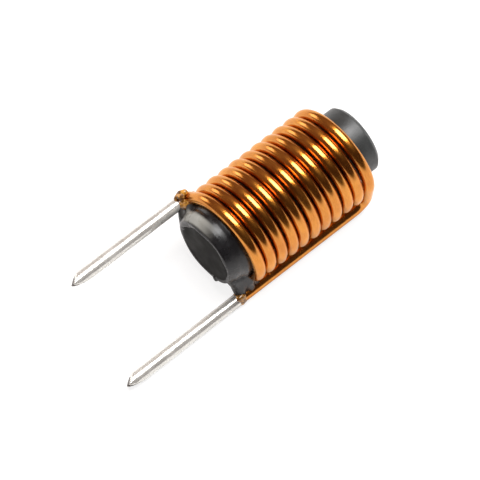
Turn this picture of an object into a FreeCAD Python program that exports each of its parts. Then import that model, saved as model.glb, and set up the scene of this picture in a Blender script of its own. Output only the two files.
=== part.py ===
import FreeCAD, Part
import math
import os

# Rod core inductor: a ferrite rod in an open coil of thick enamelled copper wire. Both wire
# ends leave at the near end of the rod, where black adhesive bonds rod, coil and leads.
# Sizes are in millimetres. The pieces are built with the rod's axis along Z and its near
# face at height 0, then laid down on their side with the axis along +X.

# Ferrite rod
ROD_DIAMETER = 6.0
ROD_LENGTH = 16.0
ROD_CHAMFER = 0.3

# Round copper wire, its enamel, and the solder coat on the stripped leads. Where the enamel
# was burnt back in the solder pot it thins out to the bare copper, under the coat's edge.
# Heights are measured from the rod's near face.
COPPER_DIAMETER = 0.96
ENAMEL_THICKNESS = 0.035
TIN_THICKNESS = 0.08
BARE_COPPER_END = 0.4
ENAMEL_FADE = 0.6
TIN_FADE_START = 0.45
TIN_EDGE_THICKNESS = 0.055

# Coil. The enamelled wire has this many sides in place of a round section, with the corners
# on the round wire and one of them outward.
WIRE_SIDES = 8
ROD_TO_COIL = 0.4
TURN_GAP = 0.121
WHOLE_TURNS = 10
COIL_START = 1.86

# Leads: how far each runs beyond the rod's near face, where it lies beside the coil, and
# the inside radius of the bend that takes it out of the coil
START_LEAD_REACH = 10.1
START_LEAD_OUTSET = 0.475
START_LEAD_ANGLE = 13.7
START_BEND_INSIDE = 0.135
RETURN_LEAD_REACH = 11.0
COIL_TO_RETURN_LEAD = 0.205
RETURN_BEND_INSIDE = 0.785
RETURN_TIN_EDGE = 0.65
TIN_TO_BEND = 0.05

# Lead tips, pinched off by side cutters: a steep bevel on one side of the ridge and a long
# rounded one on the other, with the cutters held the same way for both leads
TIP_CUT_ANGLE = 21.7
TIP_STEEP_BEVEL = 51.0
TIP_LONG_BEVEL = 73.0
TIP_RIDGE_SHIFT = 0.05
TIP_LONG_BULGE = 0.2

# Black adhesive at the near end
GLUE_FRONT = 0.3
GLUE_DEPTH = 3.0
GLUE_TAPER = 1.1
GLUE_SQUEEZE = 0.18
GLUE_CROWN_OUT = 0.7
GLUE_CROWN_RISE = 0.35
WEB_FRONT = 0.5
WEB_BACK = 1.6
START_WEB_WIDTH = 1.5
RETURN_WEB_WIDTH = 2.3
WEB_TIP_WIDTH = 0.7
WEB_WAIST_SHARE = 0.8

# Collars of burnt enamel and flux where the solder coat begins. The return lead lies on the
# ground, so its collar sits on top of the lead like a saddle.
START_COLLAR_LENGTH = 0.8
START_COLLAR_THICKNESS = 0.2
RETURN_COLLAR_LENGTH = 0.5
RETURN_COLLAR_THICKNESS = 0.16
RETURN_COLLAR_RISE = 0.2
COLLAR_CROWN_SHARE = 0.33

# Sizes that follow from the ones above
ROD_RADIUS = ROD_DIAMETER / 2
COPPER_RADIUS = COPPER_DIAMETER / 2
WIRE_RADIUS = COPPER_RADIUS + ENAMEL_THICKNESS
TIN_RADIUS = COPPER_RADIUS + TIN_THICKNESS
TIN_EDGE_RADIUS = COPPER_RADIUS + TIN_EDGE_THICKNESS
COIL_INNER_RADIUS = ROD_RADIUS + ROD_TO_COIL
COIL_RADIUS = COIL_INNER_RADIUS + WIRE_RADIUS
COIL_OUTER_RADIUS = COIL_RADIUS + WIRE_RADIUS
COIL_PITCH = 2 * WIRE_RADIUS + TURN_GAP
START_LEAD_OFFSET = COIL_RADIUS + START_LEAD_OUTSET
START_BEND_RADIUS = WIRE_RADIUS + START_BEND_INSIDE
RETURN_LEAD_OFFSET = COIL_OUTER_RADIUS + COIL_TO_RETURN_LEAD + WIRE_RADIUS
RETURN_BEND_RADIUS = WIRE_RADIUS + RETURN_BEND_INSIDE
RETURN_LEAD_DROP = COIL_OUTER_RADIUS - TIN_RADIUS
RETURN_LEAD_ANGLE = 180 + math.degrees(math.asin(RETURN_LEAD_DROP / RETURN_LEAD_OFFSET))
COIL_START_ANGLE = START_LEAD_ANGLE + math.degrees(math.acos(COIL_RADIUS / START_LEAD_OFFSET))
COIL_END_ANGLE = (RETURN_LEAD_ANGLE - math.degrees(math.acos(COIL_RADIUS / RETURN_LEAD_OFFSET))
                  + 360 * WHOLE_TURNS)
COIL_LENGTH = COIL_PITCH * (COIL_END_ANGLE - COIL_START_ANGLE) / 360

UP = FreeCAD.Vector(0, 0, 1)
ORIGIN = FreeCAD.Vector(0, 0, 0)


def around(radius, angle, height):
    """The point at a radius, an angle in degrees and a height on the rod's axis."""
    turn = math.radians(angle)
    return FreeCAD.Vector(radius * math.cos(turn), radius * math.sin(turn), height)


def helix_direction(angle):
    """The coil's unit tangent at an angle: once round for each pitch of climb."""
    turn = math.radians(angle)
    climb = COIL_PITCH / (2 * math.pi)
    tangent = FreeCAD.Vector(-COIL_RADIUS * math.sin(turn), COIL_RADIUS * math.cos(turn), climb)
    return tangent.normalize()


def round_bar(start, end, radius):
    """A round bar between two points."""
    along = end - start
    return Part.makeCylinder(radius, along.Length, start, along)


def tapered_bar(start, end, start_radius, end_radius):
    """A cone's stretch between two points, with its radius at each."""
    along = end - start
    return Part.makeCone(start_radius, end_radius, along.Length, start, along)


def on_coil(angle):
    """The point of the coil's centre line at an angle, which counts on over the turns."""
    return around(COIL_RADIUS, angle, COIL_START + COIL_PITCH * (angle - COIL_START_ANGLE) / 360)


def wire_section(angle):
    """The wire's many-sided section where the coil reaches an angle, with a corner outward
    and every corner on the round wire."""
    outward = around(1, angle, 0)
    across = helix_direction(angle).cross(outward)
    corners = []
    for side in range(WIRE_SIDES + 1):
        turn = 2 * math.pi / WIRE_SIDES * (side % WIRE_SIDES)
        spoke = outward * math.cos(turn) + across * math.sin(turn)
        corners.append(on_coil(angle) + spoke * WIRE_RADIUS)
    return Part.makePolygon(corners)


def coil_tube():
    """The helical stretch of the wire, in quarter turns that repeat exactly from turn to
    turn, so every turn's lowest corner lies on one line."""
    angles = [COIL_START_ANGLE]
    while angles[-1] < COIL_END_ANGLE:
        angles.append(min(90 * (math.floor(angles[-1] / 90 + 0.01) + 1), COIL_END_ANGLE))
    pieces = []
    for start, end in zip(angles[:-1], angles[1:]):
        piece = Part.makeHelix(COIL_PITCH, COIL_PITCH * (end - start) / 360, COIL_RADIUS)
        piece.rotate(ORIGIN, UP, start)
        piece.translate(UP * on_coil(start).z)
        pieces += piece.Edges
    return Part.Wire(pieces).makePipeShell([wire_section(COIL_START_ANGLE)], True, True)


def tangent_run(coil_angle, corner, lead_end, bend_radius):
    """The wire from one end of the coil: straight on along the tangent, round a bend at the
    corner, and along the lead to its end."""
    first = on_coil(coil_angle)
    arriving = (corner - first).normalize()
    leaving = (lead_end - corner).normalize()
    turn = arriving.getAngle(leaving)
    cut_back = bend_radius * math.tan(turn / 2)
    bend_start = corner - arriving * cut_back
    bend_end = corner + leaving * cut_back
    axis = arriving.cross(leaving).normalize()
    centre = bend_start + axis.cross(arriving) * bend_radius
    section = Part.Face(wire_section(coil_angle))
    to_bend = section.extrude(bend_start - first)
    section.translate(bend_start - first)
    bend = section.revolve(centre, axis, math.degrees(turn))
    section.rotate(centre, axis, math.degrees(turn))
    return [to_bend, bend, section.extrude(lead_end - bend_end)]


def bend_height(corner, coil_angle, lead_direction, bend_radius):
    """The height on the rod's axis where a lead ends and its bend begins."""
    arriving = (corner - on_coil(coil_angle)).normalize()
    turn = arriving.getAngle(lead_direction)
    return corner.z + lead_direction.z * bend_radius * math.tan(turn / 2)


def start_corner():
    """Where the start lead's line meets the tangent that runs into the first turn."""
    run = math.sqrt(START_LEAD_OFFSET ** 2 - COIL_RADIUS ** 2)
    rise = run * COIL_PITCH / (2 * math.pi * COIL_RADIUS)
    return around(START_LEAD_OFFSET, START_LEAD_ANGLE, COIL_START - rise)


def return_corner():
    """Where the tangent that leaves the last turn meets the return lead's line."""
    run = math.sqrt(RETURN_LEAD_OFFSET ** 2 - COIL_RADIUS ** 2)
    rise = run * COIL_PITCH / (2 * math.pi * COIL_RADIUS)
    return around(RETURN_LEAD_OFFSET, RETURN_LEAD_ANGLE, COIL_START + COIL_LENGTH + rise)


def start_tin_edge():
    """Height at which the start lead's solder coat ends, just short of the bend."""
    bend = bend_height(start_corner(), COIL_START_ANGLE, UP * -1, START_BEND_RADIUS)
    return bend - TIN_TO_BEND


def tip_cutter(offset, angle, reach):
    """The space past a pinched tip, drawn with the ridge along Y and then turned."""
    side = TIN_RADIUS * 2
    steep = math.tan(math.radians(TIP_STEEP_BEVEL))
    long = math.tan(math.radians(TIP_LONG_BEVEL))
    long_width = TIN_RADIUS - TIP_RIDGE_SHIFT
    long_height = long_width * long
    floor = -reach - side
    ridge = FreeCAD.Vector(-TIP_RIDGE_SHIFT, -side, -reach)
    steep_end = FreeCAD.Vector(side, -side, -reach + (side + TIP_RIDGE_SHIFT) * steep)
    long_end = FreeCAD.Vector(-TIN_RADIUS, -side, -reach + long_height)
    bulge = FreeCAD.Vector(-TIP_RIDGE_SHIFT - long_width * (0.5 + TIP_LONG_BULGE), -side,
                           -reach + long_height * (0.5 - TIP_LONG_BULGE))
    outside = FreeCAD.Vector(-side, -side, -reach + long_height)
    corner = FreeCAD.Vector(-side, -side, floor)
    far_corner = FreeCAD.Vector(side, -side, floor)
    outline = Part.Wire([
        Part.makeLine(steep_end, ridge),
        Part.Arc(ridge, bulge, long_end).toShape(),
        Part.makeLine(long_end, outside),
        Part.makeLine(outside, corner),
        Part.makeLine(corner, far_corner),
        Part.makeLine(far_corner, steep_end),
    ])
    cutter = Part.Face(outline).extrude(FreeCAD.Vector(0, 2 * side, 0))
    cutter.rotate(ORIGIN, UP, TIP_CUT_ANGLE)
    cutter.translate(around(offset, angle, 0))
    return cutter


def start_tip_cutter():
    return tip_cutter(START_LEAD_OFFSET, START_LEAD_ANGLE, START_LEAD_REACH)


def return_tip_cutter():
    return tip_cutter(RETURN_LEAD_OFFSET, RETURN_LEAD_ANGLE, RETURN_LEAD_REACH)


def ferrite_rod():
    """A pressed and sintered rod with a small chamfer at both ends."""
    rod = Part.makeCylinder(ROD_RADIUS, ROD_LENGTH)
    rims = [edge for edge in rod.Edges if len(edge.Vertexes) == 1]
    return rod.makeChamfer(ROD_CHAMFER, rims)


def stripped_wire(offset, angle, reach):
    """A lead's bare copper, and the stretch where the enamel fades in."""
    tip = around(offset, angle, -reach)
    bare_end = around(offset, angle, BARE_COPPER_END)
    full_start = around(offset, angle, BARE_COPPER_END + ENAMEL_FADE)
    bare = round_bar(tip, bare_end, COPPER_RADIUS)
    return bare.fuse(tapered_bar(bare_end, full_start, COPPER_RADIUS, WIRE_RADIUS))


def start_end():
    """The wire from the coil's first turn to the start lead's tip."""
    lead_end = around(START_LEAD_OFFSET, START_LEAD_ANGLE, BARE_COPPER_END + ENAMEL_FADE)
    run = tangent_run(COIL_START_ANGLE, start_corner(), lead_end, START_BEND_RADIUS)
    bare = stripped_wire(START_LEAD_OFFSET, START_LEAD_ANGLE, START_LEAD_REACH)
    return bare.cut(start_tip_cutter()).fuse(run)


def return_end():
    """The wire from the coil's last turn, back outside the coil to the return lead's tip."""
    lead_end = around(RETURN_LEAD_OFFSET, RETURN_LEAD_ANGLE, BARE_COPPER_END + ENAMEL_FADE)
    run = tangent_run(COIL_END_ANGLE, return_corner(), lead_end, RETURN_BEND_RADIUS)
    bare = stripped_wire(RETURN_LEAD_OFFSET, RETURN_LEAD_ANGLE, RETURN_LEAD_REACH)
    return bare.cut(return_tip_cutter()).fuse(run)


def winding():
    """One wire: start lead, bend, coil, bend, and the return lead outside the coil."""
    return coil_tube().fuse([start_end(), return_end()])


def solder_coat(offset, angle, edge_height, reach, wire, cutter):
    """The solder that a stripped lead was dipped in, thinner towards its edge and open at
    the pinched tip."""
    tip = around(offset, angle, -reach)
    fade_start = around(offset, angle, TIN_FADE_START)
    edge = around(offset, angle, edge_height)
    coat = round_bar(tip, fade_start, TIN_RADIUS)
    fade = tapered_bar(fade_start, edge, TIN_RADIUS, TIN_EDGE_RADIUS)
    return coat.fuse(fade).cut([wire, cutter])


def start_lead_tin():
    return solder_coat(START_LEAD_OFFSET, START_LEAD_ANGLE, start_tin_edge(),
                       START_LEAD_REACH, start_end(), start_tip_cutter())


def return_lead_tin():
    return solder_coat(RETURN_LEAD_OFFSET, RETURN_LEAD_ANGLE, RETURN_TIN_EDGE,
                       RETURN_LEAD_REACH, return_end(), return_tip_cutter())


def glue_sleeve():
    """The adhesive round the rod's near end, squeezed in between the first turns."""
    reach = COIL_INNER_RADIUS + GLUE_SQUEEZE
    front = FreeCAD.Vector(ROD_RADIUS, 0, GLUE_FRONT)
    full = FreeCAD.Vector(reach, 0, GLUE_FRONT + GLUE_TAPER)
    back = FreeCAD.Vector(reach, 0, GLUE_DEPTH)
    inner = FreeCAD.Vector(ROD_RADIUS, 0, GLUE_DEPTH)
    film = reach - ROD_RADIUS
    crown = FreeCAD.Vector(ROD_RADIUS + film * GLUE_CROWN_OUT, 0,
                           GLUE_FRONT + GLUE_TAPER * GLUE_CROWN_RISE)
    outline = Part.Wire([
        Part.Arc(front, crown, full).toShape(),
        Part.makeLine(full, back),
        Part.makeLine(back, inner),
        Part.makeLine(inner, front),
    ])
    return Part.Face(outline).revolve(ORIGIN, UP, 360)


def glue_web(offset, angle, width):
    """The adhesive drawn up between the rod and one lead, narrower at the lead."""
    root = math.sqrt(ROD_RADIUS ** 2 - (width / 2) ** 2)
    waist = (ROD_RADIUS + offset) / 2
    waist_width = (width + WEB_TIP_WIDTH) / 2 * WEB_WAIST_SHARE
    left = Part.Arc(FreeCAD.Vector(root, -width / 2, WEB_FRONT),
                    FreeCAD.Vector(waist, -waist_width / 2, WEB_FRONT),
                    FreeCAD.Vector(offset, -WEB_TIP_WIDTH / 2, WEB_FRONT)).toShape()
    right = Part.Arc(FreeCAD.Vector(offset, WEB_TIP_WIDTH / 2, WEB_FRONT),
                     FreeCAD.Vector(waist, waist_width / 2, WEB_FRONT),
                     FreeCAD.Vector(root, width / 2, WEB_FRONT)).toShape()
    top = Part.makeLine(FreeCAD.Vector(offset, -WEB_TIP_WIDTH / 2, WEB_FRONT),
                        FreeCAD.Vector(offset, WEB_TIP_WIDTH / 2, WEB_FRONT))
    bottom = Part.makeLine(FreeCAD.Vector(root, width / 2, WEB_FRONT),
                           FreeCAD.Vector(root, -width / 2, WEB_FRONT))
    web = Part.Face(Part.Wire([left, top, right, bottom])).extrude(UP * (WEB_BACK - WEB_FRONT))
    web.rotate(ORIGIN, UP, angle)
    return web


def end_adhesive(wetted):
    """Black epoxy: the sleeve in the first turns, with a web out to each lead."""
    webs = [
        glue_web(START_LEAD_OFFSET, START_LEAD_ANGLE, START_WEB_WIDTH),
        glue_web(RETURN_LEAD_OFFSET, RETURN_LEAD_ANGLE, RETURN_WEB_WIDTH),
    ]
    return glue_sleeve().fuse(webs).cut(wetted)


def burnt_collar(offset, angle, middle, length, thickness):
    """A lumpy ring of burnt enamel and flux, drawn as two blunt cones on a short barrel."""
    reach = TIN_RADIUS + thickness
    crown = length * COLLAR_CROWN_SHARE
    heights = [middle - length / 2, middle - crown / 2, middle + crown / 2, middle + length / 2]
    radii = [TIN_RADIUS, reach, reach, TIN_RADIUS]
    outline = [FreeCAD.Vector(radius, 0, height) for radius, height in zip(radii, heights)]
    outline = [FreeCAD.Vector(0, 0, heights[0])] + outline + [FreeCAD.Vector(0, 0, heights[-1])]
    barrel = Part.Face(Part.makePolygon(outline + outline[:1])).revolve(ORIGIN, UP, 360)
    barrel.translate(around(offset, angle, 0))
    return barrel


def start_lead_residue(solids):
    barrel = burnt_collar(START_LEAD_OFFSET, START_LEAD_ANGLE, start_tin_edge(),
                          START_COLLAR_LENGTH, START_COLLAR_THICKNESS)
    return barrel.cut(solids)


def return_lead_residue(solids):
    barrel = burnt_collar(RETURN_LEAD_OFFSET, RETURN_LEAD_ANGLE, RETURN_TIN_EDGE,
                          RETURN_COLLAR_LENGTH, RETURN_COLLAR_THICKNESS)
    barrel.translate(FreeCAD.Vector(0, RETURN_COLLAR_RISE, 0))
    return barrel.cut(solids)


rod = ferrite_rod()
wire = winding()
start_tin = start_lead_tin()
return_tin = return_lead_tin()
start_residue = start_lead_residue([wire, start_tin])
return_residue = return_lead_residue([wire, return_tin])
nodes = {
    "ferrite_rod": rod,
    "winding": wire,
    "start_lead_tin": start_tin,
    "return_lead_tin": return_tin,
    "start_lead_residue": start_residue,
    "return_lead_residue": return_residue,
    "end_adhesive": end_adhesive([rod, wire, start_tin, return_tin, start_residue, return_residue]),
}

# Lay the part on its side, coil and return lead on the ground, and centre it on its box.
lie_down = FreeCAD.Placement(ORIGIN, FreeCAD.Rotation(FreeCAD.Vector(1, 1, 1), 120))
for shape in nodes.values():
    shape.Placement = lie_down.multiply(shape.Placement)
box = Part.makeCompound(list(nodes.values())).optimalBoundingBox(False)
centre = FreeCAD.Vector(-(box.XMin + box.XMax) / 2, -(box.YMin + box.YMax) / 2, COIL_OUTER_RADIUS)
os.makedirs("parts", exist_ok=True)
for name, shape in nodes.items():
    shape.translate(centre)
    shape.exportStep("parts/" + name + ".step")
    print(name, shape.isValid(), len(shape.Solids), round(shape.Volume, 4), shape.BoundBox)
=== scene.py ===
import bpy
import math
import numpy as np
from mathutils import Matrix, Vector


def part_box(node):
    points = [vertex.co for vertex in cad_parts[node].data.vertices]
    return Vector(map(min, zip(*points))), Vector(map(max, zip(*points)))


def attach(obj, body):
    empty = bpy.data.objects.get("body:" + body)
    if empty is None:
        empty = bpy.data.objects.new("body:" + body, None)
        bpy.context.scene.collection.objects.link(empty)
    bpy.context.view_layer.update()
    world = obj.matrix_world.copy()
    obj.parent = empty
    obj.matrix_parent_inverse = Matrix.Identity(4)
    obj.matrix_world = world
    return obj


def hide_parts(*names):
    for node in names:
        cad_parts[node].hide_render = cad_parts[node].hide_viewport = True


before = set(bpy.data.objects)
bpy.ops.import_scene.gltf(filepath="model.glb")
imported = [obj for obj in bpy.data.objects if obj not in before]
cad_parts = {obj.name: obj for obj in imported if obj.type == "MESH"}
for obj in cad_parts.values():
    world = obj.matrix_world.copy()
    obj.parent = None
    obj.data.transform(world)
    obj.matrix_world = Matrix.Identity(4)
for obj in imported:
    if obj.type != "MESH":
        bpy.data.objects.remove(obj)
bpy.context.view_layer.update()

# The ferrite rod: manganese-zinc powder pressed to a rod, sintered and left unglazed.
# Both rims are chamfered in the die. The near end is smeared with adhesive, and the winding
# leaves 0.4 mm of air round the rod.
MM = 0.001
ROD_LOW, ROD_HIGH = (np.array(corner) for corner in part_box("ferrite_rod"))
NEAR_FACE = ROD_LOW[0]
AXIS_Y = (ROD_LOW[1] + ROD_HIGH[1]) / 2
AXIS_Z = (ROD_LOW[2] + ROD_HIGH[2]) / 2
ROD_RADIUS = 3.0 * MM
ROD_LENGTH = ROD_HIGH[0] - ROD_LOW[0]
ROD_CHAMFER = 0.3 * MM
ROD_EDGE_ROUND = 0.05 * MM
ROD_COLUMNS = 160


def linear(colour):
    """An sRGB hex colour as linear red, green, blue and an alpha of one."""
    levels = np.array([int(colour[i:i + 2], 16) for i in (1, 3, 5)]) / 255
    low = levels / 12.92
    high = ((levels + 0.055) / 1.055) ** 2.4
    return (*np.where(levels <= 0.04045, low, high), 1.0)


def node(tree, kind, inputs, **settings):
    """Adds a shader node with its settings, and fills or links each named input."""
    made = tree.nodes.new("ShaderNode" + kind)
    for name, value in settings.items():
        setattr(made, name, value)
    for name, value in inputs.items():
        if isinstance(value, bpy.types.NodeSocket):
            tree.links.new(value, made.inputs[name])
        else:
            made.inputs[name].default_value = value
    return made


def blank_material(name):
    """A material with an empty node tree."""
    material = bpy.data.materials.new(name)
    material.use_nodes = True
    material.node_tree.nodes.clear()
    return material, material.node_tree


def noise(tree, place, size, detail):
    """A cloudy pattern from 0 to 1, in patches of about the given size in metres."""
    return node(tree, "TexNoise", {"Vector": place, "Scale": 1 / size, "Detail": detail}).outputs["Fac"]


def ramp(tree, value, start, end, low=0.0, high=1.0, **settings):
    """A value rescaled so that start to end becomes low to high, and held past both ends."""
    return node(tree, "MapRange", {"Value": value, "From Min": start, "From Max": end,
                                   "To Min": low, "To Max": high}, **settings).outputs[0]


def blend(tree, share, first, second):
    """A colour that runs from one hex colour to another."""
    return node(tree, "Mix", {0: share, 6: linear(first), 7: linear(second)}, data_type="RGBA").outputs[2]


def combine(tree, operation, first, second):
    """Two values added, multiplied or otherwise combined."""
    return node(tree, "Math", {0: first, 1: second}, operation=operation).outputs[0]


def relief(tree, height, strength, depth):
    """A normal that tilts with a pattern's height, as if it were cut to the given depth."""
    return node(tree, "Bump", {"Height": height, "Strength": strength, "Distance": depth}).outputs[0]


def cover(tree, inputs):
    """Ends a material in one principled surface."""
    surface = node(tree, "BsdfPrincipled", inputs)
    node(tree, "OutputMaterial", {"Surface": surface.outputs[0]})


def about_axis(x, radius, angle):
    """Points at a distance x past the near face, a radius and an angle about the rod's axis.
    The angle runs from +Y towards +Z: y = r cos a, z = r sin a."""
    x, radius, angle = np.broadcast_arrays(x, radius, angle)
    return np.stack([NEAR_FACE + x, AXIS_Y + radius * np.cos(angle),
                     AXIS_Z + radius * np.sin(angle)], axis=-1)


def skin(name, rings, along=None):
    """A closed mesh over a grid of points: each row is a ring, and a fan closes each end.
    The UV map holds turns round the ring across and distance along the rows, in mm, up."""
    rows, columns = rings.shape[:2]
    centres = np.stack([rings[0].mean(axis=0), rings[-1].mean(axis=0)])
    vertices = np.concatenate([rings.reshape(-1, 3), centres])
    row = np.arange(rows - 1)[:, None] * columns
    column = np.arange(columns)[None, :]
    following = (column + 1) % columns
    quads = np.stack([row + column, row + following, row + columns + following,
                      row + columns + column], axis=-1).reshape(-1, 4)
    ends = np.arange(columns)
    nexts = (ends + 1) % columns
    last = (rows - 1) * columns
    first_fan = np.stack([np.full(columns, rows * columns), nexts, ends], axis=-1)
    last_fan = np.stack([np.full(columns, rows * columns + 1), last + ends, last + nexts], axis=-1)
    mesh = bpy.data.meshes.new(name)
    mesh.from_pydata(vertices.tolist(), [], quads.tolist() + first_fan.tolist() + last_fan.tolist())
    mesh.polygons.foreach_set("use_smooth", np.ones(len(mesh.polygons), dtype=bool))
    if along is not None:
        across = np.stack([column, column + 1, column + 1, column], axis=-1) / columns
        across = np.broadcast_to(across, (rows - 1, columns, 4))
        up = np.stack([along[:-1], along[:-1], along[1:], along[1:]], axis=-1)[:, None, :] / MM
        up = np.broadcast_to(up, (rows - 1, columns, 4))
        fan = np.stack([np.full((columns, 3), 0.5), np.zeros((columns, 3))], axis=-1).reshape(-1, 2)
        grid = np.stack([across, up], axis=-1).reshape(-1, 2)
        layer = mesh.uv_layers.new(name="along_wire")
        layer.data.foreach_set("uv", np.concatenate([grid, fan, fan]).ravel())
    mesh.update()
    piece = bpy.data.objects.new(name, mesh)
    bpy.context.scene.collection.objects.link(piece)
    return piece


def rounded_profile(corners, radii, steps):
    """A polyline with each inner corner turned on an arc: the arc is a quadratic curve from
    one side's point to the other's, each a set distance from the corner."""
    corners = np.array(corners)
    points = [corners[:1]]
    share = np.linspace(0, 1, steps)[:, None]
    for before, corner, after, radius in zip(corners[:-2], corners[1:-1], corners[2:], radii):
        start = corner + (before - corner) / np.linalg.norm(before - corner) * radius
        end = corner + (after - corner) / np.linalg.norm(after - corner) * radius
        points.append((1 - share) ** 2 * start + 2 * share * (1 - share) * corner + share ** 2 * end)
    points.append(corners[-1:])
    return np.concatenate(points)


def revolved(profile, columns):
    """Rings about the rod's axis from a profile of (x, radius) rows."""
    angles = np.linspace(0, 2 * math.pi, columns, endpoint=False)
    return about_axis(profile[:, :1], profile[:, 1:], angles[None, :])


rod_profile = rounded_profile(
    [(0, 0.02 * MM), (0, ROD_RADIUS - ROD_CHAMFER), (ROD_CHAMFER, ROD_RADIUS),
     (ROD_LENGTH - ROD_CHAMFER, ROD_RADIUS), (ROD_LENGTH, ROD_RADIUS - ROD_CHAMFER),
     (ROD_LENGTH, 0.02 * MM)],
    [ROD_EDGE_ROUND] * 4, 6)
rod = skin("ferrite_rod_body", revolved(rod_profile, ROD_COLUMNS))

# Sintered ferrite: a ceramic with a matte, faintly sparkling grain.
FERRITE_DARK = "#232525"
FERRITE_LIGHT = "#383B3B"
FERRITE_GRAIN = 0.09 * MM
FERRITE_CLOUD = 1.6 * MM
ferrite, tree = blank_material("sintered_ferrite")
place = node(tree, "TexCoord", {}).outputs["Object"]
grain = noise(tree, place, FERRITE_GRAIN, 3.0)
cloud = noise(tree, place, FERRITE_CLOUD, 4.0)
tone = ramp(tree, combine(tree, "ADD", grain, cloud), 0.75, 1.25)
cover(tree, {"Base Color": blend(tree, tone, FERRITE_DARK, FERRITE_LIGHT), "IOR": 1.6,
             "Roughness": ramp(tree, cloud, 0.3, 0.7, 0.4, 0.52),
             "Normal": relief(tree, grain, 0.35, 0.012 * MM)})
rod.data.materials.append(ferrite)

# The near face carries a dull smear of the same adhesive, thin enough to stay flat.
SMEAR_GREY = "#2B2B2A"
SMEAR_CLOUD = 1.6 * MM
FACING_OUT = -0.9
smear, tree = blank_material("smeared_face")
place = node(tree, "TexCoord", {}).outputs["Object"]
cloud = noise(tree, place, SMEAR_CLOUD, 5.0)
cover(tree, {"Base Color": linear(SMEAR_GREY), "Specular IOR Level": 0.12,
             "Roughness": ramp(tree, cloud, 0.35, 0.65, 0.55, 0.8),
             "Normal": relief(tree, cloud, 0.3, 0.06 * MM)})
rod.data.materials.append(smear)
for polygon in rod.data.polygons:
    if polygon.normal.x < FACING_OUT:
        polygon.material_index = 1
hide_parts("ferrite_rod")
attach(rod, "root")

# The winding: one copper wire of about 1 mm in clear amber enamel, wound on a mandrel in a
# little over ten turns. The start lead bends straight into the first turn, and the far end
# bends back and runs outside the coil to the near end.
COPPER_RADIUS = 0.48 * MM
WIRE_RADIUS = 0.515 * MM
TIN_RADIUS = 0.56 * MM
COIL_RADIUS = 3.4 * MM + WIRE_RADIUS
COIL_PITCH = 1.151 * MM
WHOLE_TURNS = 10
COIL_START = 1.86 * MM
START_OFFSET = 4.39 * MM
START_ANGLE = math.radians(13.7)
START_BEND = 0.65 * MM
START_REACH = 10.1 * MM
RETURN_OFFSET = 5.15 * MM
RETURN_ANGLE = math.pi + math.asin((COIL_RADIUS + WIRE_RADIUS - TIN_RADIUS) / RETURN_OFFSET)
RETURN_BEND = 1.3 * MM
RETURN_REACH = 11.0 * MM
RETURN_TIN_EDGE = 0.65 * MM
TIN_TO_BEND = 0.05 * MM
COIL_FIRST_ANGLE = START_ANGLE + math.acos(COIL_RADIUS / START_OFFSET)
COIL_LAST_ANGLE = RETURN_ANGLE - math.acos(COIL_RADIUS / RETURN_OFFSET) + 2 * math.pi * WHOLE_TURNS
COIL_CLIMB = COIL_PITCH / (2 * math.pi)
TURN_DRIFT = 0.028 * MM
TURN_SWELL = 0.012 * MM
RINGS_PER_TURN = 120
WIRE_COLUMNS = 40
ALONG = np.array([1.0, 0.0, 0.0])


def coil_direction(angle):
    """The helix's unit tangent: once round for each pitch of climb along X."""
    tangent = np.array([COIL_CLIMB, -COIL_RADIUS * math.sin(angle), COIL_RADIUS * math.cos(angle)])
    return tangent / np.linalg.norm(tangent)


def bend(corner, arriving, leaving, radius, steps):
    """Points of a bend that rounds a corner: start + r sin(t) a + r (1 - cos(t)) c, where a is
    the arriving direction and c the inward one."""
    turn = math.acos(float(np.dot(arriving, leaving)))
    inward = leaving - np.dot(arriving, leaving) * arriving
    inward /= np.linalg.norm(inward)
    start = corner - arriving * radius * math.tan(turn / 2)
    swept = np.linspace(0, turn, steps)[:, None]
    return start + radius * (np.sin(swept) * arriving + (1 - np.cos(swept)) * inward)


def straight(start, end, steps):
    """Points along a line, without its two ends."""
    return start + (end - start) * np.linspace(0, 1, steps + 2)[1:-1, None]


def coil_line():
    """The helix's points. Hand winding leaves each turn a few hundredths of a millimetre out
    of place: a sum of slow sines in the angle, faded out at both ends."""
    angles = np.linspace(COIL_FIRST_ANGLE, COIL_LAST_ANGLE, int(WHOLE_TURNS * RINGS_PER_TURN))
    share = (angles - angles[0]) / (angles[-1] - angles[0])
    fade = np.clip(np.minimum(share, 1 - share) * 12, 0, 1)
    drift = fade * TURN_DRIFT * (np.sin(0.37 * angles + 0.6) + 0.7 * np.sin(0.91 * angles + 2.0))
    swell = fade * TURN_SWELL * np.sin(0.53 * angles + 1.1)
    climb = COIL_START + COIL_CLIMB * (angles - angles[0])
    return about_axis(climb + drift, COIL_RADIUS + swell, angles)


START_RUN = math.sqrt(START_OFFSET ** 2 - COIL_RADIUS ** 2)
RETURN_RUN = math.sqrt(RETURN_OFFSET ** 2 - COIL_RADIUS ** 2)
COIL_END = COIL_START + COIL_CLIMB * (COIL_LAST_ANGLE - COIL_FIRST_ANGLE)
START_CORNER = COIL_START - START_RUN * COIL_CLIMB / COIL_RADIUS
RETURN_CORNER = COIL_END + RETURN_RUN * COIL_CLIMB / COIL_RADIUS
start_corner = about_axis(START_CORNER, START_OFFSET, START_ANGLE)
return_corner = about_axis(RETURN_CORNER, RETURN_OFFSET, RETURN_ANGLE)
first_bend = bend(start_corner, ALONG, coil_direction(COIL_FIRST_ANGLE), START_BEND, 24)
last_bend = bend(return_corner, coil_direction(COIL_LAST_ANGLE), -ALONG, RETURN_BEND, 32)
coil = coil_line()
START_TIN_EDGE = first_bend[0, 0] - NEAR_FACE - TIN_TO_BEND


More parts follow.
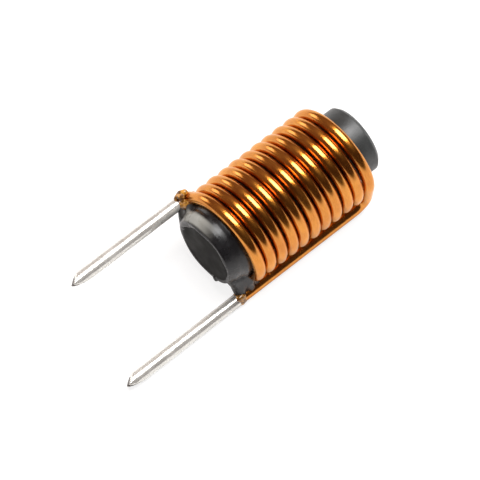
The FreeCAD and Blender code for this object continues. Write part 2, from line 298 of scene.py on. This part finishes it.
def wire_rings(line, radii, columns):
    """A round section carried along a line. Its frame is the direction out from the rod's
    axis, made square to the line, and the cross product of the two."""
    lengths = np.concatenate([[0], np.cumsum(np.linalg.norm(np.diff(line, axis=0), axis=1))])
    tangent = np.gradient(line, lengths, axis=0)
    tangent /= np.linalg.norm(tangent, axis=1)[:, None]
    outward = line - np.array([0, AXIS_Y, AXIS_Z])
    outward[:, 0] = 0
    outward -= (outward * tangent).sum(axis=1)[:, None] * tangent
    outward /= np.linalg.norm(outward, axis=1)[:, None]
    sideways = np.cross(tangent, outward)
    angle = np.linspace(0, 2 * math.pi, columns, endpoint=False)[None, :, None]
    spokes = outward[:, None, :] * np.cos(angle) + sideways[:, None, :] * np.sin(angle)
    return line[:, None, :] + np.asarray(radii)[:, None, None] * spokes, lengths


start_edge = about_axis(START_TIN_EDGE, START_OFFSET, START_ANGLE)
return_edge = about_axis(RETURN_TIN_EDGE, RETURN_OFFSET, RETURN_ANGLE)
CORE_SHORT = 2.2 * MM
start_core = about_axis(-START_REACH + CORE_SHORT, START_OFFSET, START_ANGLE)
return_core = about_axis(-RETURN_REACH + CORE_SHORT, RETURN_OFFSET, RETURN_ANGLE)
STEP = 0.02 * MM
stretches = [
    (start_core[None], COPPER_RADIUS),
    ((start_edge - ALONG * STEP)[None], COPPER_RADIUS),
    (start_edge[None], WIRE_RADIUS),
    (first_bend, WIRE_RADIUS),
    (straight(first_bend[-1], coil[0], 6), WIRE_RADIUS),
    (coil, WIRE_RADIUS),
    (straight(coil[-1], last_bend[0], 8), WIRE_RADIUS),
    (last_bend, WIRE_RADIUS),
    (straight(last_bend[-1], return_edge, 60), WIRE_RADIUS),
    (return_edge[None], WIRE_RADIUS),
    ((return_edge - ALONG * STEP)[None], COPPER_RADIUS),
    (return_core[None], COPPER_RADIUS),
]
wire_line = np.concatenate([points for points, radius in stretches])
wire_radii = np.concatenate([np.full(len(points), radius) for points, radius in stretches])
rings, lengths = wire_rings(wire_line, wire_radii, WIRE_COLUMNS)
wire = skin("winding_wire", rings, lengths)

# Polyurethane-enamelled copper: a drawn metal under a clear amber coat, which gives deep
# orange reflections, paler at the edges. Faint draw lines run along the wire.
ENAMEL_DEEP = "#BC6E22"
ENAMEL_PALE = "#DA9238"
ENAMEL_EDGE = "#FFE0B0"
DRAW_LINES = (14.0, 0.35, 1.0)
DRAW_LINE_SCALE = 6.0
ENAMEL_CLOUD = 1.4 * MM
enamel, tree = blank_material("enamelled_copper_wire")
coordinates = node(tree, "TexCoord", {})
stretched = node(tree, "Mapping", {"Vector": coordinates.outputs["UV"], "Scale": DRAW_LINES})
streaks = noise(tree, stretched.outputs[0], 1 / DRAW_LINE_SCALE, 2.0)
cloud = noise(tree, coordinates.outputs["Object"], ENAMEL_CLOUD, 3.0)
tone = ramp(tree, combine(tree, "ADD", streaks, cloud), 0.7, 1.3)
cover(tree, {"Base Color": blend(tree, tone, ENAMEL_DEEP, ENAMEL_PALE), "Metallic": 1.0,
             "Roughness": ramp(tree, cloud, 0.3, 0.7, 0.2, 0.27),
             "Normal": relief(tree, streaks, 0.12, 0.01 * MM),
             "Specular Tint": linear(ENAMEL_EDGE), "Coat Weight": 0.6, "Coat Roughness": 0.12})
wire.data.materials.append(enamel)
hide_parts("winding")
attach(wire, "root")

# The tinned leads: each stripped end was dipped in molten solder and then pinched off with
# side cutters, which leaves a steep bevel on one side of a ridge and a long one on the other.
CUT_ANGLE = math.radians(21.7)
STEEP_SLOPE = math.tan(math.radians(51.0))
LONG_SLOPE = math.tan(math.radians(73.0))
RIDGE_SHIFT = 0.05 * MM
CUT_RIM = 0.045 * MM
COAT_DIP = 0.014 * MM
SLOW_RIPPLE = (0.012 * MM, 2.3 * MM)
QUICK_RIPPLE = (0.006 * MM, 0.6 * MM)
LEAD_COLUMNS = 64
PLAIN_ROWS = 70
BEVEL_ROWS = 26
CUT_ROWS = 16


def tip_height(across):
    """How far the cut surface lies behind the ridge, at a distance across the lead: a plane
    on the steep side, and on the other the mean of a parabola and a quarter circle."""
    steep = (across + RIDGE_SHIFT) * STEEP_SLOPE
    width = TIN_RADIUS - RIDGE_SHIFT
    share = np.clip(-(across + RIDGE_SHIFT) / width, 0, 1)
    long_side = width * LONG_SLOPE * (share ** 2 + 1 - np.sqrt(1 - share ** 2)) / 2
    return np.where(across > -RIDGE_SHIFT, steep, long_side)


def tinned_lead(name, offset, lead_angle, edge, reach):
    """A solder-coated lead from its tin edge to its cut tip. The wall's rings slide from flat
    ones at the edge to the cut's outline, and the last rings shrink over the cut itself. The
    coat swells and thins as two sines of the distance, each with its own depth and length."""
    angle = np.linspace(0, 2 * math.pi, LEAD_COLUMNS, endpoint=False)
    middle = about_axis(0, offset, lead_angle)
    spokes = np.stack([0 * angle, np.cos(angle), -np.sin(angle)], axis=-1)
    across = TIN_RADIUS * np.cos(-angle - CUT_ANGLE)
    cut = -reach + tip_height(across)
    bend_line = -reach + TIN_RADIUS * LONG_SLOPE * 1.1
    wall = []
    plain = np.linspace(edge, bend_line, PLAIN_ROWS)
    ripple = SLOW_RIPPLE[0] * np.sin(plain / SLOW_RIPPLE[1] + offset / MM)
    ripple += QUICK_RIPPLE[0] * np.sin(plain / QUICK_RIPPLE[1])
    for x, extra in zip(plain, ripple):
        wall.append((np.full(LEAD_COLUMNS, x), TIN_RADIUS + extra - COAT_DIP))
    for share in np.linspace(0, 1, BEVEL_ROWS)[1:]:
        rim = 1 - CUT_RIM / TIN_RADIUS * max(0.0, share * 12 - 11)
        wall.append((bend_line + (cut - bend_line) * share, TIN_RADIUS * rim))
    for share in np.linspace(1 - CUT_RIM / TIN_RADIUS, 0.02, CUT_ROWS)[1:]:
        wall.append((-reach + tip_height(across * share), TIN_RADIUS * share))
    x = np.stack([row for row, radius in wall])
    radii = np.stack([np.broadcast_to(radius, LEAD_COLUMNS) for row, radius in wall])
    rings = middle + x[:, :, None] * ALONG + radii[:, :, None] * spokes
    closing = middle + edge * ALONG + COPPER_RADIUS * spokes
    rings = np.concatenate([closing[None], rings])
    return skin(name, rings, np.concatenate([[edge], x.mean(axis=1)]))


start_lead = tinned_lead("start_lead_solder", START_OFFSET, START_ANGLE,
                         START_TIN_EDGE, START_REACH)
return_lead = tinned_lead("return_lead_solder", RETURN_OFFSET, RETURN_ANGLE,
                          RETURN_TIN_EDGE, RETURN_REACH)

# Dipped solder: a bright tin alloy with a soft, slightly rippled skin.
TIN_BRIGHT = "#F2F1EC"
TIN_DULL = "#D5D4CE"
TIN_CLOUD = 1.5 * MM
tin, tree = blank_material("dipped_solder")
place = node(tree, "TexCoord", {}).outputs["Object"]
cloud = noise(tree, place, TIN_CLOUD, 2.0)
cover(tree, {"Base Color": blend(tree, cloud, TIN_DULL, TIN_BRIGHT), "Metallic": 0.62,
             "Roughness": ramp(tree, cloud, 0.3, 0.7, 0.2, 0.34),
             "Normal": relief(tree, cloud, 0.08, 0.01 * MM)})

# The sheared core of each tip: bare copper, dulled by the cutter. It covers the innermost
# rows of the cut.
SHEARED = "#4E4642"
CORE_ROWS = 11
sheared, tree = blank_material("sheared_core")
cover(tree, {"Base Color": linear(SHEARED), "Metallic": 1.0, "Roughness": 0.45})
for piece, cad_node in ((start_lead, "start_lead_tin"), (return_lead, "return_lead_tin")):
    piece.data.materials.append(tin)
    piece.data.materials.append(sheared)
    walls = len(piece.data.polygons) - 2 * LEAD_COLUMNS
    for polygon in piece.data.polygons[walls - CORE_ROWS * LEAD_COLUMNS:walls]:
        polygon.material_index = 1
    for polygon in piece.data.polygons[walls + LEAD_COLUMNS:]:
        polygon.material_index = 1
    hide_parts(cad_node)
    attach(piece, "root")

# The black adhesive: epoxy brushed round the rod's near end. It rounds the rim over, wets
# the first turns from inside and is drawn out to both leads in webs.
GLUE_GRID = 0.06
GLUE_RELAX = 6
GLUE_BACK = 2.9
GLUE_STEP = 2.5


def bump_at(angle, centre, width):
    """A smooth hump of height one over the angles: exp(-(difference / width) squared), in
    degrees, with the difference taken the short way round."""
    difference = (np.asarray(angle) - centre + 180) % 360 - 180
    return np.exp(-(difference / width) ** 2)


def polar(x, radius, angle):
    """A place in mm and degrees about the rod's axis, as a point in metres."""
    return about_axis(x * MM, radius * MM, math.radians(angle))


def knotted_tube(knots, columns=24, steps=8):
    """Rings of a round-ended tube through knots of (place, radius in mm): the ends close with
    quarter circles, radius r cos t at r sin t past the last knot."""
    places = np.array([place for place, radius in knots])
    radii = np.array([radius for place, radius in knots]) * MM
    first = places[0] - places[1]
    last = places[-1] - places[-2]
    first, last = first / np.linalg.norm(first), last / np.linalg.norm(last)
    turns = np.linspace(math.pi / 2 - 0.05, 0, steps)[:-1, None]
    line = np.concatenate([places[0] + radii[0] * np.sin(turns) * first, places,
                           (places[-1] + radii[-1] * np.sin(turns) * last)[::-1]])
    widths = np.concatenate([radii[0] * np.cos(turns[:, 0]), radii, (radii[-1] * np.cos(turns[:, 0]))[::-1]])
    tangent = np.gradient(line, axis=0)
    tangent /= np.linalg.norm(tangent, axis=1)[:, None]
    side = np.cross(tangent, (places[-1] - places[0])[[1, 2, 0]])
    side /= np.linalg.norm(side, axis=1)[:, None]
    other = np.cross(tangent, side)
    angle = np.linspace(0, 2 * math.pi, columns, endpoint=False)[None, :, None]
    spokes = side[:, None, :] * np.cos(angle) + other[:, None, :] * np.sin(angle)
    return line[:, None, :] + widths[:, None, None] * spokes


def blob(name, tubes, hoops, grid, relax):
    """One skin round overlapping bodies: tubes of rings, and hoops whose last ring meets the
    first. It is remeshed on a grid and relaxed, in mm, and then brought back to metres."""
    vertices, faces, count = [], [], 0
    for rings, hoop in [(rings, False) for rings in tubes] + [(rings, True) for rings in hoops]:
        rows, columns = rings.shape[:2]
        row = np.arange(rows if hoop else rows - 1)[:, None]
        column = np.arange(columns)[None, :]
        after, beside = (row + 1) % rows, (column + 1) % columns
        quads = np.stack([row * columns + column, row * columns + beside, after * columns + beside,
                          after * columns + column], axis=-1).reshape(-1, 4)
        faces += (quads + count).tolist()
        if not hoop:
            faces.append((np.arange(columns)[::-1] + count).tolist())
            faces.append((np.arange(columns) + count + (rows - 1) * columns).tolist())
        vertices.append(rings.reshape(-1, 3) / MM)
        count += rows * columns
    mesh = bpy.data.meshes.new(name + "_rough")
    mesh.from_pydata(np.concatenate(vertices).tolist(), [], faces)
    rough = bpy.data.objects.new(name + "_rough", mesh)
    bpy.context.scene.collection.objects.link(rough)
    remesh = rough.modifiers.new("one_skin", "REMESH")
    remesh.mode = "VOXEL"
    remesh.voxel_size = grid
    smooth = rough.modifiers.new("relaxed", "SMOOTH")
    smooth.factor = 0.5
    smooth.iterations = relax
    baked = bpy.data.meshes.new_from_object(rough.evaluated_get(bpy.context.evaluated_depsgraph_get()))
    bpy.data.objects.remove(rough)
    bpy.data.meshes.remove(mesh)
    baked.name = name
    points = np.empty(len(baked.vertices) * 3)
    baked.vertices.foreach_get("co", points)
    baked.vertices.foreach_set("co", points * MM)
    baked.polygons.foreach_set("use_smooth", np.ones(len(baked.polygons), dtype=bool))
    baked.update()
    piece = bpy.data.objects.new(name, baked)
    bpy.context.scene.collection.objects.link(piece)
    return piece


# The hoop's section, in mm: places past the near face with their radii. The film over the
# face, the shoulder and the face's edge vary round the rod.
glue_angles = np.arange(0, 360, GLUE_STEP)
film = 0.05 + 0.09 * bump_at(glue_angles, 70, 60) + 0.03 * np.sin(np.radians(5 * glue_angles + 40))
shoulder = 0.10 + 0.16 * bump_at(glue_angles, 60, 55) + 0.05 * bump_at(glue_angles, 200, 60)
face_edge = 2.68 - 0.25 * bump_at(glue_angles, 45, 40) + 0.06 * np.sin(np.radians(7 * glue_angles))
glue_profile = [
    (0.3, 2.7), (0.0, face_edge), (-film * 0.7, face_edge + 0.12), (-film, 2.86),
    (-film * 0.2, 3.0 + film * 0.6), (0.16, 3.04 + shoulder * 0.55), (0.45, 3.08 + shoulder),
    (0.85, 3.17 + shoulder), (1.0, 3.16 + shoulder), (1.2, 3.30 + shoulder * 0.4), (1.5, 3.5),
    (GLUE_BACK, 3.55), (GLUE_BACK, 2.7),
]
glue_hoop = np.stack([about_axis(x * MM, radius * MM, np.radians(glue_angles))
                      for x, radius in glue_profile], axis=1)
glue = blob("adhesive_body", [
    knotted_tube([(polar(0.45, 2.8, 8), 0.55), (polar(0.75, 3.4, 12), 0.52), (polar(1.1, 4.0, 14), 0.46)]),
    knotted_tube([(polar(1.2, 3.1, 28), 0.6), (polar(1.5, 3.5, 24), 0.6), (polar(1.5, 3.9, 19), 0.5)]),
    knotted_tube([(polar(1.0, 3.0, 216), 0.85), (polar(1.1, 3.8, 223), 0.7), (polar(0.95, 4.75, 228), 0.5)]),
    knotted_tube([(polar(1.5, 3.1, 214), 0.85), (polar(1.8, 3.9, 221), 0.72), (polar(1.9, 4.7, 227), 0.5)]),
    knotted_tube([(polar(2.1, 3.2, 214), 0.7), (polar(2.4, 3.9, 221), 0.62), (polar(2.5, 4.6, 227), 0.45)]),
    knotted_tube([(polar(0.06, 2.82, 246), 0.2), (polar(0.02, 2.98, 243), 0.2)]),
], [glue_hoop], GLUE_GRID, GLUE_RELAX)

# Cured epoxy: near black and glossy. A pale painted highlight lies on its shoulder on the upper side,
# where the soft boxes' reflection falls, and fades out over the angles and depths given here.
EPOXY_BLACK = "#19191B"
# The light grey is a painted highlight, laid into the epoxy's colour on the shoulder.
EPOXY_PAINTED_HIGHLIGHT = "#8F8F89"
PAINTED_HIGHLIGHT_FROM = math.radians(14)
PAINTED_HIGHLIGHT_TO = math.radians(108)
PAINTED_HIGHLIGHT_FADE = math.radians(20)
PAINTED_HIGHLIGHT_FRONT = (-0.1 * MM, 0.1 * MM)
PAINTED_HIGHLIGHT_BACK = (1.0 * MM, 0.7 * MM)
EPOXY_CLOUD = 0.8 * MM
epoxy, tree = blank_material("black_epoxy")
place = node(tree, "TexCoord", {}).outputs["Object"]
cloud = noise(tree, place, EPOXY_CLOUD, 4.0)
position = node(tree, "SeparateXYZ", {"Vector": place})
level = combine(tree, "SUBTRACT", position.outputs["Y"], AXIS_Y)
height = combine(tree, "SUBTRACT", position.outputs["Z"], AXIS_Z)
turn = combine(tree, "ARCTAN2", height, level)
depth = combine(tree, "SUBTRACT", position.outputs["X"], NEAR_FACE)
# The painted highlight's mask: one inside the angle and depth windows, fading to none outside them.
painted_highlight = 1.0
for value, start, full in ((turn, PAINTED_HIGHLIGHT_FROM, PAINTED_HIGHLIGHT_FROM + PAINTED_HIGHLIGHT_FADE),
                           (turn, PAINTED_HIGHLIGHT_TO, PAINTED_HIGHLIGHT_TO - 2 * PAINTED_HIGHLIGHT_FADE),
                           (depth, *PAINTED_HIGHLIGHT_FRONT), (depth, *PAINTED_HIGHLIGHT_BACK)):
    window = ramp(tree, value, start, full, interpolation_type="SMOOTHSTEP")
    painted_highlight = combine(tree, "MULTIPLY", painted_highlight, window)
cover(tree, {"Base Color": blend(tree, painted_highlight, EPOXY_BLACK, EPOXY_PAINTED_HIGHLIGHT),
             "Roughness": ramp(tree, cloud, 0.35, 0.65, 0.22, 0.42),
             "Normal": relief(tree, cloud, 0.15, 0.05 * MM)})
glue.data.materials.clear()
glue.data.materials.append(epoxy)
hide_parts("end_adhesive")
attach(glue, "root")

# The burnt enamel at both tin edges: lumps of resin and flux, golden where thin and brown
# where the soldering heat reached them.
RESIN_GRID = 0.05
RESIN_RELAX = 3
start_resin = blob("start_lead_resin", [
    knotted_tube([(polar(0.95, 4.39, 13.7), 0.57), (polar(1.3, 4.39, 13.9), 0.63),
                  (polar(1.62, 4.37, 15.5), 0.60)]),
    knotted_tube([(polar(1.0, 4.05, 7.5), 0.36), (polar(1.35, 3.8, 9.5), 0.4),
                  (polar(1.65, 3.75, 15.0), 0.34)]),
    knotted_tube([(polar(0.95, 4.75, 19.0), 0.26), (polar(1.35, 4.85, 21.0), 0.32),
                  (polar(1.65, 4.75, 23.0), 0.28)]),
    knotted_tube([(polar(1.2, 4.55, 25.0), 0.22), (polar(1.0, 4.75, 26.0), 0.2)]),
    knotted_tube([(polar(1.8, 4.3, 21.0), 0.34), (polar(2.05, 4.2, 27.0), 0.28)]),
    knotted_tube([(polar(1.05, 3.95, 19.0), 0.36), (polar(1.3, 3.85, 23.0), 0.42),
                  (polar(1.5, 3.8, 28.0), 0.34)]),
], [], RESIN_GRID, RESIN_RELAX)
return_resin = blob("return_lead_resin", [
    knotted_tube([(polar(0.5, 5.15, 228.8), 0.56), (polar(0.68, 5.15, 228.8), 0.62),
                  (polar(0.85, 5.15, 228.8), 0.57)]),
    knotted_tube([(polar(0.6, 5.3, 232.5), 0.34), (polar(0.85, 5.3, 233.0), 0.3)]),
    knotted_tube([(polar(0.55, 4.95, 224.0), 0.3), (polar(0.9, 4.9, 223.5), 0.26)]),
], [], RESIN_GRID, RESIN_RELAX)
RESIN_BROWN = "#583414"
RESIN_GOLD = "#D2963E"
RESIN_CLOUD = 0.36 * MM
resin, tree = blank_material("burnt_resin")
place = node(tree, "TexCoord", {}).outputs["Object"]
cloud = noise(tree, place, RESIN_CLOUD, 4.0)
tone = ramp(tree, cloud, 0.38, 0.62)
cover(tree, {"Base Color": blend(tree, tone, RESIN_BROWN, RESIN_GOLD), "Roughness": 0.25,
             "Normal": relief(tree, cloud, 0.5, 0.06 * MM), "Coat Weight": 0.6,
             "Coat Roughness": 0.1})
for piece, cad_node in ((start_resin, "start_lead_residue"), (return_resin, "return_lead_residue")):
    piece.data.materials.clear()
    piece.data.materials.append(resin)
    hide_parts(cad_node)
    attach(piece, "root")

# The studio: a white table, a dark room that is white at the table's level, a large soft box
# overhead and a smaller, weaker one low on the far side. The camera sees the table as a dim
# white with a glow, so that it turns out white and still takes the shadow.
FLOOR_SIDE = 3.0
TABLE_SEEN = "#8C8C8C"
TABLE_LIT = "#E2E2E2"
GLOW_SEEN = 0.84
GLOW_MIRRORED = 0.2
WHITE = "#FFFFFF"
floor_mesh = bpy.data.meshes.new("table")
half = FLOOR_SIDE / 2
floor_corners = [(-half, -half, 0), (half, -half, 0), (half, half, 0), (-half, half, 0)]
floor_mesh.from_pydata(floor_corners, [], [(0, 1, 2, 3)])
floor = bpy.data.objects.new("table", floor_mesh)
bpy.context.scene.collection.objects.link(floor)
table, tree = blank_material("white_table")
path = node(tree, "LightPath", {})
mirrored = combine(tree, "MAXIMUM", path.outputs["Is Glossy Ray"], path.outputs["Is Transmission Ray"])
seen = combine(tree, "MAXIMUM", mirrored, path.outputs["Is Camera Ray"])
dim = node(tree, "BsdfDiffuse", {"Color": linear(TABLE_SEEN)})
pale = node(tree, "BsdfDiffuse", {"Color": linear(TABLE_LIT)})
matte = node(tree, "MixShader", {0: path.outputs["Is Camera Ray"], 1: pale.outputs[0], 2: dim.outputs[0]})
level = ramp(tree, path.outputs["Is Camera Ray"], 0.0, 1.0, GLOW_MIRRORED, GLOW_SEEN)
lit = combine(tree, "MULTIPLY", level, seen)
glow = node(tree, "Emission", {"Color": linear(WHITE), "Strength": lit})
shown = node(tree, "AddShader", {0: matte.outputs[0], 1: glow.outputs[0]})
node(tree, "OutputMaterial", {"Surface": shown.outputs[0]})
floor.data.materials.append(table)

# The room is darker on the camera's side than behind the part, and white up to the height
# given here, as a share of the distance.
ROOM_FRONT = "#4A3E3A"
ROOM_BACK = "#8C7468"
WHITE_BELOW = 0.06
world = bpy.data.worlds.new("studio")
bpy.context.scene.world = world
world.use_nodes = True
tree = world.node_tree
tree.nodes.clear()
direction = node(tree, "SeparateXYZ", {"Vector": node(tree, "TexCoord", {}).outputs["Generated"]})
high = ramp(tree, direction.outputs["Z"], 0.0, WHITE_BELOW, interpolation_type="SMOOTHSTEP")
side = ramp(tree, direction.outputs["Y"], -0.5, 0.5, interpolation_type="SMOOTHSTEP")
walls = blend(tree, side, ROOM_FRONT, ROOM_BACK)
tint = node(tree, "Mix", {0: high, 6: linear(WHITE), 7: walls}, data_type="RGBA")
room = node(tree, "Background", {"Color": tint.outputs[2], "Strength": 1.0})
white = node(tree, "Background", {"Color": linear(WHITE), "Strength": 1.0})
path = node(tree, "LightPath", {})
sky = node(tree, "MixShader", {0: path.outputs["Is Camera Ray"], 1: room.outputs[0], 2: white.outputs[0]})
node(tree, "OutputWorld", {"Surface": sky.outputs[0]})


def look_at(piece, place, target):
    """Puts a lamp or camera at a place with its -Z towards the target."""
    piece.location = place
    piece.rotation_euler = (Vector(target) - Vector(place)).to_track_quat("-Z", "Y").to_euler()


# Each soft box: its name, the direction it stands in, its two sides in metres and its radiance.
LAMP_DISTANCE = 0.4
lamps = [
    ("top_soft_box", (0.305, 0.008, 0.952), 0.20, 0.38, 10.5),
    ("side_soft_box", (-0.20, 0.94, 0.26), 0.22, 0.15, 2.6),
]
for name, towards, across, along, radiance in lamps:
    lamp = bpy.data.lights.new(name, "AREA")
    lamp.shape = "RECTANGLE"
    lamp.size = across
    lamp.size_y = along
    lamp.energy = radiance * math.pi * across * along
    soft_box = bpy.data.objects.new(name, lamp)
    bpy.context.scene.collection.objects.link(soft_box)
    look_at(soft_box, tuple(np.array(towards) * LAMP_DISTANCE), (0, 0, 0))

# The camera looks down at the part from its lead end, through a long lens. The pixel is
# where the near face's centre lies in the photograph.
ELEVATION = math.radians(62.2)
AZIMUTH = math.radians(-40.9)
DISTANCE = 0.4
PIXELS_PER_METRE = 12625
FRAME_PIXELS = 480
SENSOR_WIDTH = 36
NEAR_FACE_PIXEL = (204.85, 252.36)
right = np.array([math.cos(AZIMUTH), math.sin(AZIMUTH), 0])
back = np.array([math.cos(ELEVATION) * math.sin(AZIMUTH), -math.cos(ELEVATION) * math.cos(AZIMUTH),
                 math.sin(ELEVATION)])
upward = np.cross(back, right)
near_centre = np.array([NEAR_FACE, AXIS_Y, AXIS_Z])
offset_right = (NEAR_FACE_PIXEL[0] - FRAME_PIXELS / 2) / PIXELS_PER_METRE
offset_up = (FRAME_PIXELS / 2 - NEAR_FACE_PIXEL[1]) / PIXELS_PER_METRE
target = near_centre - offset_right * right - offset_up * upward
camera_data = bpy.data.cameras.new("camera")
camera_data.sensor_width = SENSOR_WIDTH
camera_data.lens = SENSOR_WIDTH * DISTANCE * PIXELS_PER_METRE / FRAME_PIXELS
camera_data.clip_start = 0.01
camera = bpy.data.objects.new("camera", camera_data)
bpy.context.scene.collection.objects.link(camera)
bpy.context.scene.camera = camera
look_at(camera, tuple(target + back * DISTANCE), tuple(target))
bpy.context.scene.view_settings.view_transform = "Standard"
